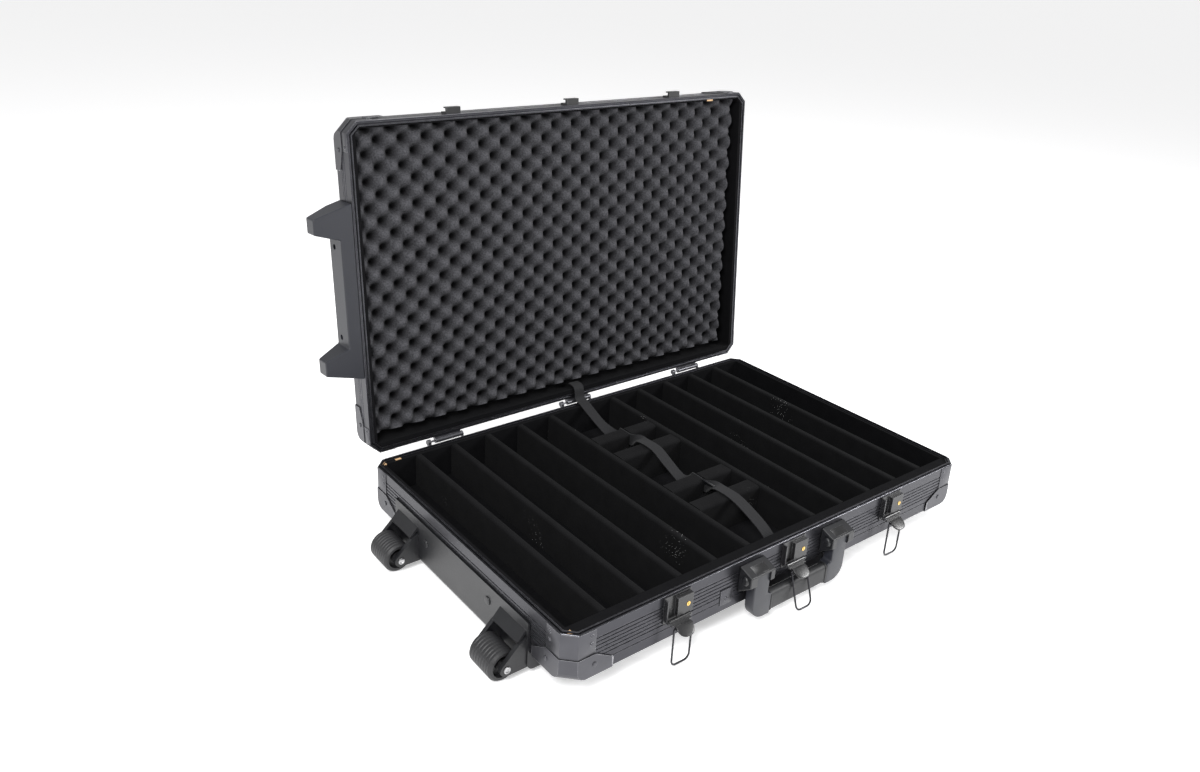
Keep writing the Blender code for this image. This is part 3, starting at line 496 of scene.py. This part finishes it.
finishes = {
    "base_frame": anodised, "lid_frame": anodised, "base_tray": liningFelt, "lid_tray": liningFelt,
    "divider": dividerFelt, "cross_block": dividerFelt, "base_corner": blackSteel, "lid_corner": blackSteel,
    "hinge": blackSteel, "latch_plate": latchBlack, "latch_lever": latchBlack, "latch_bail": wireSteel,
    "latch_lock": brass, "keeper": latchBlack, "handle_mount": blackPlastic, "handle_bow": slatePlastic,
    "stand_bar": slatePlastic, "wheel_carrier": blackPlastic, "wheel_": tyreRubber, "axle": brightSteel,
    "skid_housing": blackPlastic, "pull_bow": blackPlastic,
}
for name, node in nodes.items():
    for start, made in finishes.items():
        if name.startswith(start):
            node.data.materials.clear()
            node.data.materials.append(made)
            break
print("finishes on", len(nodes), "nodes")


# egg-crate foam in the lid
foam = dict(pitch=0.0375, perPitch=12, relief=0.025, peak=0.62, inset=0.0006, lift=0.0003,
            chamfer=0.015, wall=0.0096, cornerGap=0.0002, rightScallop=0.007, backScallop=0.006, spill=0.012)


def lidLocalBox(node):
    back = lidTurn.inverted()
    points = [back @ vertex.co for vertex in nodes[node].data.vertices]
    low = Vector([min(point[k] for point in points) for k in range(3)])
    high = Vector([max(point[k] for point in points) for k in range(3)])
    return low, high


def eggCrate(x, y):
    # 0 at the bottom of a pit and 1 on the rounded peaks between the pits
    wave = math.cos(2 * math.pi * x / foam["pitch"]) * math.cos(2 * math.pi * y / foam["pitch"])
    return (0.5 + 0.5 * wave) ** foam["peak"]


def scallop(deep, near, along):
    # how far the edge is eaten in, between two peaks
    return deep * near * (0.5 + 0.5 * math.cos(2 * math.pi * along / foam["pitch"]))


def buildFoam():
    low, high = lidLocalBox("lid_foam")
    width, depth = high.x - low.x - 2 * foam["inset"], high.y - low.y - 2 * foam["inset"]
    countX = round(width / foam["pitch"] * foam["perPitch"])
    countY = round(depth / foam["pitch"] * foam["perPitch"])
    deselectAll()
    bpy.ops.mesh.primitive_grid_add(x_subdivisions=countX, y_subdivisions=countY, size=1,
                                    location=((low.x + high.x) / 2, (low.y + high.y) / 2, low.z))
    obj = bpy.context.object
    obj.scale = (width, depth, 1)
    applyPlace(obj)
    bpy.ops.object.mode_set(mode="EDIT")
    bpy.ops.mesh.select_all(action="DESELECT")
    bpy.ops.mesh.select_non_manifold()
    back = (0, 0, high.z - low.z - foam["inset"])
    bpy.ops.mesh.extrude_region_move(TRANSFORM_OT_translate={"value": back})
    bpy.ops.mesh.edge_face_add()
    bpy.ops.object.mode_set(mode="OBJECT")
    middle = (low + high) / 2
    cornerReach = abs(frameHigh.x) + abs(frameHigh.y) - foam["chamfer"] - foam["wall"] * math.sqrt(2)
    # how sunk each point is; the foam's finish darkens the pits by it, partly for darker open cells, partly
    # as painted shade
    pit = obj.data.attributes.new("pit", "FLOAT", "POINT")
    for vertex in obj.data.vertices:
        x, y, z = vertex.co
        if z < low.z + 0.001:
            sunk = 1 - eggCrate(x - low.x, y - low.y)
            vertex.co.z = low.z + foam["lift"] + foam["relief"] * sunk
            pit.data[vertex.index].value = sunk
        # the upright edges are cut as the lining's chamfered corners are
        over = abs(x) + abs(y) - cornerReach
        if over > 0:
            vertex.co.x -= math.copysign(over / 2 + foam["cornerGap"], x - middle.x)
            vertex.co.y -= math.copysign(over / 2 + foam["cornerGap"], y - middle.y)
        # the free right edge is scalloped, and springs out further towards the front
        near = (x - (high.x - foam["pitch"])) / foam["pitch"]
        if near > 0:
            vertex.co.x -= scallop(foam["rightScallop"], near, y - low.y)
            vertex.co.x += foam["spill"] * near * (high.y - y) / (high.y - low.y)
        near = (y - (high.y - foam["pitch"])) / foam["pitch"]
        if near > 0:
            vertex.co.y -= scallop(foam["backScallop"], near, x - low.x)
    obj.data.transform(lidTurn)
    fixNormals(obj)
    smoothEdges(obj, 60)
    obj.name = obj.data.name = "eggCrateFoam"
    obj.data.materials.append(foamFinish)
    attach(obj, "lid")
    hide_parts("lid_foam")


buildFoam()
print("foam cut")


# the strap: woven tape with stitched edges, over and through the blocks
strap = dict(x=0.005, width=0.019, thick=0.0014, across=4, steps=3)
strapRoute = (  # y, z and the twist in degrees
    (0.262, 0.1280, 0), (0.254, 0.1280, 0), (0.2475, 0.1265, 0), (0.2440, 0.1215, 0), (0.2425, 0.1130, 0),
    (0.2405, 0.1070, 0), (0.2360, 0.1043, 0), (0.2260, 0.1017, 0), (0.2150, 0.0970, 0), (0.1800, 0.0840, 0),
    (0.1450, 0.0790, 35), (0.1350, 0.0860, 80), (0.1300, 0.0890, 90), (0.1060, 0.0890, 90),
    (0.0980, 0.0915, 75), (0.0860, 0.0975, 25), (0.0760, 0.1003, 0), (0.0450, 0.1003, 0), (0.0200, 0.0900, 0),
    (-0.0090, 0.0785, 0), (-0.0240, 0.0790, 35), (-0.0340, 0.0860, 80), (-0.0400, 0.0890, 90),
    (-0.0650, 0.0890, 90), (-0.0710, 0.0910, 75), (-0.0820, 0.0970, 25), (-0.0930, 0.1003, 0),
    (-0.1240, 0.1003, 0), (-0.1550, 0.0915, 0), (-0.1860, 0.0780, 0), (-0.2050, 0.0620, 0),
    (-0.2140, 0.0520, 0),
)


def smoothRoute(rows, steps):
    rows = [Vector(row) for row in rows]
    made = []
    for k in range(len(rows) - 1):
        start, end = rows[k], rows[k + 1]
        before, after = rows[max(k - 1, 0)], rows[min(k + 2, len(rows) - 1)]
        for step in range(steps):
            t = step / steps
            bend = (end - before) * (t - 2 * t * t + t ** 3) / 2 + (after - start) * (t ** 3 - t * t) / 2
            made.append(start * (1 - 3 * t * t + 2 * t ** 3) + end * (3 * t * t - 2 * t ** 3) + bend)
    return made + [rows[-1]]


def buildStrap():
    rows = smoothRoute(strapRoute, strap["steps"])
    deselectAll()
    bpy.ops.mesh.primitive_grid_add(x_subdivisions=strap["across"], y_subdivisions=len(rows) - 1, size=1)
    obj = bpy.context.object
    run = [0.0]
    for a, b in zip(rows, rows[1:]):
        run.append(run[-1] + math.hypot(b.x - a.x, b.y - a.y))
    uv = obj.data.uv_layers.active
    for loop in obj.data.loops:
        co = obj.data.vertices[loop.vertex_index].co
        row = round((co.y + 0.5) * (len(rows) - 1))
        uv.data[loop.index].uv = ((co.x + 0.5) * strap["width"], run[row])
    for vertex in obj.data.vertices:
        row = rows[round((vertex.co.y + 0.5) * (len(rows) - 1))]
        turned = math.radians(row.z)
        across = Vector((math.cos(turned), 0, math.sin(turned))) * strap["width"] * vertex.co.x
        vertex.co = Vector((strap["x"], row.x, row.y)) + across
    thicken = obj.modifiers.new("thickness", "SOLIDIFY")
    thicken.thickness = strap["thick"]
    thicken.offset = 0
    applyModifiers(obj)
    smoothEdges(obj, 50)
    obj.name = obj.data.name = "cueStrap"
    obj.data.materials.append(tape)
    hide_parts("strap")
    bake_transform(obj)


buildStrap()
print("strap laid")


# smooth brackets over the frame's mitres, and rivets: modelled at one corner, then mirrored to the others
bracket = dict(reach=0.026, proud=0.0009, thick=0.0008, chamfer=0.015, chamferGrow=0.5858, edge=0.0003)
bracketRivet = dict(radius=0.0024, height=0.0009, along=0.034, proud=bracket["proud"])
capRivet = dict(radius=0.0032, height=0.0011, along=0.039, proud=0.0018)
lidRim = rimHeight + 0.0003
cornerLevels = {
    "base": dict(low=rimHeight - 0.0342, high=rimHeight - 0.0006,
                 rivets=(rimHeight - 0.008, rimHeight - 0.019), cap=rimHeight - 0.049),
    "lid": dict(low=lidRim + 0.0006, high=lidRim + 0.0162, rivets=(lidRim + 0.008,), cap=lidRim + 0.027),
}


def rivetPair(rivet, level):
    # one head on the right face and one on the back face
    out, inward, head = rivet["proud"], rivet["along"], (rivet["radius"], rivet["height"])
    return [dome((frameHigh.x + out, frameHigh.y - inward, level), (1, 0, 0), *head),
            dome((frameHigh.x - inward, frameHigh.y + out, level), (0, 1, 0), *head)]


def bracketShell(low, high):
    proud = bracket["proud"]
    outer = Vector((frameHigh.x + proud, frameHigh.y + proud, 0))
    inner = outer - Vector((bracket["chamfer"] + bracket["reach"],) * 2 + (0,))
    obj = blockBetween((inner.x, inner.y, low), (outer.x, outer.y, high))
    bpy.ops.object.mode_set(mode="EDIT")
    selectEdges(obj, lambda a, b: min(a.x, b.x) > outer.x - 0.001 and min(a.y, b.y) > outer.y - 0.001)
    bpy.ops.mesh.bevel(offset=(bracket["chamfer"] + bracket["chamferGrow"] * proud), segments=1)
    selectFaces(obj, lambda face: face.normal.x < -0.5 or face.normal.y < -0.5 or abs(face.normal.z) > 0.5)
    bpy.ops.mesh.delete(type="FACE")
    bpy.ops.object.mode_set(mode="OBJECT")
    shell = obj.modifiers.new("plate", "SOLIDIFY")
    shell.thickness = bracket["thick"]
    shell.offset = -1
    soft = obj.modifiers.new("edges", "BEVEL")
    soft.width = bracket["edge"]
    soft.segments = 2
    applyModifiers(obj)
    return obj


def toCorners(models, name):
    number = 0
    for sideX in (-1, 1):
        for sideY in (-1, 1):
            number += 1
            for body, model in models.items():
                whole = copied(model, Matrix.Diagonal((sideX, sideY, 1, 1)))
                smoothEdges(whole, 35)
                if body == "lid":
                    whole.data.transform(lidTurn)
                whole.name = whole.data.name = f"{body}{name}_{number}"
                whole.data.materials.append(blackSteel)
                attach(whole, body)
    for model in models.values():
        discard(model)


brackets, capRivets = {}, {}
for body, at in cornerLevels.items():
    parts = [bracketShell(at["low"], at["high"])]
    for level in at["rivets"]:
        parts += rivetPair(bracketRivet, level)
    brackets[body] = joined(parts, "bracketModel")
    capRivets[body] = joined(rivetPair(capRivet, at["cap"]), "rivetModel")
toCorners(brackets, "Bracket")
toCorners(capRivets, "CapRivets")
print("brackets and corners riveted")


# the middle latch's wire loop, lying over the grip
loop = dict(wire=0.0013, half=0.0147, length=0.055, top=0.0019, foot=0.008, lean=18,
            topSteps=4, footSteps=6, roundness=4)


def arcPoints(centre, radius, start, end, steps):
    turns = [math.radians(start + (end - start) * step / steps) for step in range(steps + 1)]
    return [(centre[0] + radius * math.cos(turn), centre[1] + radius * math.sin(turn)) for turn in turns]


def buildMiddleLoop():
    half, top, foot, length = loop["half"], loop["top"], loop["foot"], loop["length"]
    path = arcPoints((half - top, -top), top, 90, 0, loop["topSteps"])
    path += arcPoints((half - foot, foot - length), foot, 0, -90, loop["footSteps"])
    path += arcPoints((foot - half, foot - length), foot, -90, -180, loop["footSteps"])
    path += arcPoints((top - half, -top), top, 180, 90, loop["topSteps"])
    curve = bpy.data.curves.new("middleLoop", "CURVE")
    curve.dimensions = "3D"
    curve.bevel_depth = loop["wire"]
    curve.bevel_resolution = loop["roundness"]
    spline = curve.splines.new("POLY")
    spline.points.add(len(path) - 1)
    for point, (across, rise) in zip(spline.points, path):
        point.co = (across, 0, rise, 1)
    spline.use_cyclic_u = True
    obj = bpy.data.objects.new("middleLoop", curve)
    bpy.context.scene.collection.objects.link(obj)
    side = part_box("latch_bail_1")
    pivot = Vector((0, (side[0][1] + side[1][1]) / 2, side[1][2] - loop["wire"]))
    obj.matrix_world = Matrix.Translation(pivot) @ Matrix.Rotation(-math.radians(loop["lean"]), 4, "X")
    pickOnly(obj)
    bpy.ops.object.convert(target="MESH")
    obj = bpy.context.object
    applyPlace(obj)
    smoothEdges(obj, 60)
    obj.data.materials.append(wireSteel)
    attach(obj, "lever_2")


buildMiddleLoop()
print("middle loop hung")


# finger leaves on the latch levers, domed and rounded at the tip
leaf = dict(half=0.0126, tip=-0.0245, root=-0.0074, low=0.0004, high=0.0025, round=0.0105, border=0.0022,
            crown=0.0003, edge=0.0007, rest=35, out=0.0065, drop=0.036)
blade = blockBetween((-leaf["half"], leaf["tip"], leaf["low"]), (leaf["half"], leaf["root"], leaf["high"]))
bpy.ops.object.mode_set(mode="EDIT")
selectEdges(blade, lambda a, b: abs(a.z - b.z) > 0.001 and a.y < leaf["tip"] + 0.001)
bpy.ops.mesh.bevel(offset=leaf["round"], segments=8)
selectFaces(blade, lambda face: face.normal.z > 0.9)
bpy.ops.mesh.inset(thickness=leaf["border"], depth=leaf["crown"])
bpy.ops.object.mode_set(mode="OBJECT")
bevelled(blade, leaf["edge"], 3)
for number in (1, 2, 3):
    plateLow, plateHigh = (Vector(corner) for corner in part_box(f"latch_plate_{number}"))
    middle = Vector(((plateLow.x + plateHigh.x) / 2, frameLow.y - leaf["out"], rimHeight - leaf["drop"]))
    pickOnly(blade)
    bpy.ops.object.duplicate()
    flap = bpy.context.object
    flap.data.transform(Matrix.Translation(middle) @ Matrix.Rotation(math.radians(leaf["rest"]), 4, "X"))
    smoothEdges(flap, 40)
    flap.name = flap.data.name = f"leverLeaf_{number}"
    flap.data.materials.append(latchBlack)
    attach(flap, f"lever_{number}")
discard(blade)
print("lever leaves set")


# small trim
tab = dict(low=-0.133, high=-0.112, foot=-0.056, top=-0.033, proud=0.0011, sunk=0.0002, edge=0.0004,
           rivetUp=0.008, rivet=0.0035, rivetHigh=0.0012)
plate = blockBetween((tab["low"], frameLow.y - tab["proud"], rimHeight + tab["foot"]),
                     (tab["high"], frameLow.y + tab["sunk"], rimHeight + tab["top"]))
bevelled(plate, tab["edge"])
rivetAt = ((tab["low"] + tab["high"]) / 2, frameLow.y - tab["proud"],
           rimHeight + tab["foot"] + tab["rivetUp"])
head = dome(rivetAt, (0, -1, 0), tab["rivet"], tab["rivetHigh"])
tabPlate = joined([plate, head], "frontTab")
smoothEdges(tabPlate)
tabPlate.data.materials.append(blackSteel)
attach(tabPlate, "base")

bolt = dict(face=frameLow.x - 0.003, radius=0.006, high=0.0016, places=((-0.078, 0.055), (0.079, 0.051)))
bolts = [dome((bolt["face"], y, z), (-1, 0, 0), bolt["radius"], bolt["high"]) for y, z in bolt["places"]]
carrierBolts = joined(bolts, "carrierBolts")
smoothEdges(carrierBolts)
carrierBolts.data.materials.append(blackPlastic)
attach(carrierBolts, "base")
print("trim fixed")


# carry handle: two moulded arms and a softer grip between collars
handle = dict(inner=0.0635, outer=0.0905, top=-0.0172, gripTop=-0.0545, foot=-0.0865,
              back=-0.2445, front=-0.2595, toe=0.0075, corner=0.022, soft=0.0058, throat=0.006,
              collar=0.0014, collarRound=0.0068, collarEdge=0.0004, gripRound=0.0066, overlap=0.004)


def handleArm():
    h = handle
    level = rimHeight + h["gripTop"]
    obj = blockBetween((h["inner"], h["front"], level), (h["outer"], h["back"], rimHeight + h["top"]))
    bpy.ops.object.mode_set(mode="EDIT")
    selectFaces(obj, lambda face: face.normal.z < -0.5)
    bpy.ops.mesh.extrude_region_move(TRANSFORM_OT_translate={"value": (0, 0, h["foot"] - h["gripTop"])})
    selectFaces(obj, lambda face: face.normal.x < -0.5 and face.calc_center_median().z < level)
    bpy.ops.mesh.extrude_region_move(TRANSFORM_OT_translate={"value": (-h["toe"], 0, 0)})
    foot = rimHeight + h["foot"] + 0.001
    selectEdges(obj, lambda a, b: min(a.x, b.x) > h["outer"] - 0.001 and max(a.z, b.z) < foot)
    bpy.ops.mesh.bevel(offset=h["corner"], segments=8)
    inner = h["inner"] + 0.001
    selectEdges(obj, lambda a, b: max(a.x, b.x) < inner and abs(a.z - level) + abs(b.z - level) < 0.001
                and min(a.x, b.x) > h["inner"] - 0.001)
    bpy.ops.mesh.bevel(offset=h["throat"], segments=5)
    bpy.ops.object.mode_set(mode="OBJECT")
    bevelled(obj, h["soft"], 4)
    obj.data.materials.append(slatePlastic)
    return obj


def roundedBar(low, high, rounding):
    # a bar along x, rounded on its four long edges
    bar = blockBetween(low, high)
    bpy.ops.object.mode_set(mode="EDIT")
    selectEdges(bar, lambda a, b: abs(a.x - b.x) > 0.001)
    bpy.ops.mesh.bevel(offset=rounding, segments=6)
    bpy.ops.object.mode_set(mode="OBJECT")
    bar.data.materials.append(gripRubber)
    return bar


def buildHandle():
    h = handle
    arm = handleArm()
    reach = h["inner"] - h["toe"] + h["overlap"]
    # the grip stands a hair inside the arms, and the collars a hair outside them
    grip = roundedBar((-reach, h["front"] + 0.0004, rimHeight + h["foot"] + 0.001),
                      (reach, h["back"] - 0.0004, rimHeight + h["gripTop"] - 0.001), h["gripRound"])
    collars = []
    for side in (-1, 1):
        at = side * (h["inner"] - h["toe"] - h["collar"])
        ring = roundedBar((at - h["collar"], h["front"] - 0.0003, rimHeight + h["foot"] + 0.0002),
                          (at + h["collar"], h["back"] + 0.0003, rimHeight + h["gripTop"] - 0.0002),
                          h["collarRound"])
        bevelled(ring, h["collarEdge"])
        collars.append(ring)
    otherArm = copied(arm, Matrix.Diagonal((-1, 1, 1, 1)))
    whole = joined([arm, otherArm, grip, *collars], "carryHandle")
    smoothEdges(whole, 40)
    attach(whole, "handle")
    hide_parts("handle_bow")


buildHandle()
print("handle moulded")


# dark inlays and pin bosses on the handle's mounts, modelled on the right mount
inlay = dict(low=0.0655, high=0.0905, near=0.007, far=0.0195, thick=0.001, proud=0.0004, edge=0.0003,
             boss=0.0062, bossHigh=0.0034, bossOut=0.0125, bossDrop=0.0225)
mountTop = dict(drop=0.007, slope=(0.015 - 0.007) / 0.022)
mountLow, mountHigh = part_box("handle_mount_2")
plate = blockBetween((inlay["low"], frameLow.y - inlay["far"], 0),
                     (inlay["high"], frameLow.y - inlay["near"], inlay["thick"]))
for vertex in plate.data.vertices:
    fall = mountTop["drop"] + mountTop["slope"] * (frameLow.y - vertex.co.y)
    vertex.co.z += rimHeight - fall - inlay["thick"] + inlay["proud"]
bevelled(plate, inlay["edge"])
plate.data.materials.append(latchBlack)
parts = [plate]
for x, along in ((mountLow[0], -1), (mountHigh[0], 1)):
    bossAt = (x, frameLow.y - inlay["bossOut"], rimHeight - inlay["bossDrop"])
    boss = dome(bossAt, (along, 0, 0), inlay["boss"], inlay["bossHigh"])
    boss.data.materials.append(blackPlastic)
    parts.append(boss)
trimModel = joined(parts, "trimModel")
for number, side in ((1, -1), (2, 1)):
    trim = copied(trimModel, Matrix.Diagonal((side, 1, 1, 1)))
    smoothEdges(trim)
    trim.name = trim.data.name = f"mountTrim_{number}"
    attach(trim, "base")
discard(trimModel)
print("mounts trimmed")


# pebble-grained outer panels inside the frames' flanges
panel = dict(inset=0.0146, corner=0.0186, thick=0.0012, edge=0.0003)
for name, body, low in (("basePanel", "base", 0.0353), ("lidPanel", "lid", rimHeight + 0.0387)):
    x, y = frameHigh.x - panel["inset"], frameHigh.y - panel["inset"]
    sheetPanel = blockBetween((-x, -y, low), (x, y, low + panel["thick"]))
    bpy.ops.object.mode_set(mode="EDIT")
    selectEdges(sheetPanel, lambda a, b: abs(a.z - b.z) > 0.0005)
    bpy.ops.mesh.bevel(offset=panel["corner"], segments=1)
    bpy.ops.object.mode_set(mode="OBJECT")
    bevelled(sheetPanel, panel["edge"])
    if body == "lid":
        sheetPanel.data.transform(lidTurn)
    sheetPanel.name = sheetPanel.data.name = name
    sheetPanel.data.materials.append(laminate)
    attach(sheetPanel, body)
print("panels fitted")


# the strap's slider, and bare wood where the felt is chipped
slider = dict(y=-0.075, z=0.0925, tilt=62, wide=0.026, tall=0.020, thick=0.003, bar=0.0035,
              lip=0.0012, sunk=-0.0011, edge=0.0006)
half = Vector((slider["wide"], slider["tall"], slider["thick"])) / 2
buckle = blockBetween(-half, half)
bpy.ops.object.mode_set(mode="EDIT")
selectEdges(buckle, lambda a, b: abs(a.x - b.x) > 0.01)
bpy.ops.mesh.subdivide(number_cuts=1)
selectFaces(buckle, lambda face: abs(face.normal.z) > 0.5)
bpy.ops.mesh.inset(thickness=slider["bar"], use_individual=False, depth=0.0)
bpy.ops.mesh.inset(thickness=slider["lip"], depth=slider["sunk"], use_individual=False)
bpy.ops.object.mode_set(mode="OBJECT")
bevelled(buckle, slider["edge"])
buckle.data.transform(Matrix.Translation((strap["x"], slider["y"], slider["z"]))
                      @ Matrix.Rotation(math.radians(slider["tilt"]), 4, "Y")
                      @ Matrix.Rotation(math.radians(90), 4, "Z"))
fixNormals(buckle)
smoothEdges(buckle)
buckle.name = buckle.data.name = "strapSlider"
buckle.data.materials.append(blackPlastic)
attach(buckle, "base")


def woodChip(at, size, seed):
    # a torn patch a little proud of the felt, with a ragged outline
    deselectAll()
    bpy.ops.mesh.primitive_cube_add(size=1, location=at, scale=size)
    chip = bpy.context.object
    applyPlace(chip)
    bpy.ops.object.mode_set(mode="EDIT")
    bpy.ops.mesh.select_all(action="SELECT")
    bpy.ops.mesh.subdivide(number_cuts=3, fractal=size[0] * 0.5, seed=seed)
    bpy.ops.object.mode_set(mode="OBJECT")
    for vertex in chip.data.vertices:
        vertex.co.z = min(max(vertex.co.z, at[2] - size[2] / 2), at[2] + size[2] / 2)
    chip.data.materials.append(bareWood)
    return chip


wallTop = rimHeight - 0.001
baseChips = joined([
    woodChip((frameLow.x + 0.0105, frameLow.y + 0.0115, wallTop), (0.006, 0.007, 0.0014), 1),
    woodChip((frameLow.x + 0.0115, frameHigh.y - 0.0110, wallTop), (0.005, 0.009, 0.0014), 2),
    woodChip((frameLow.x + 0.0350, frameHigh.y - 0.0100, wallTop), (0.009, 0.004, 0.0014), 3),
], "baseWoodChips")
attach(baseChips, "base")
lidChip = woodChip((0.290, frameLow.y + 0.0085, rimHeight + 0.0015), (0.013, 0.0028, 0.0014), 4)
lidChip.data.transform(lidTurn)
lidChip.name = lidChip.data.name = "lidWoodChip"
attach(lidChip, "lid")
print("slider and chips placed")
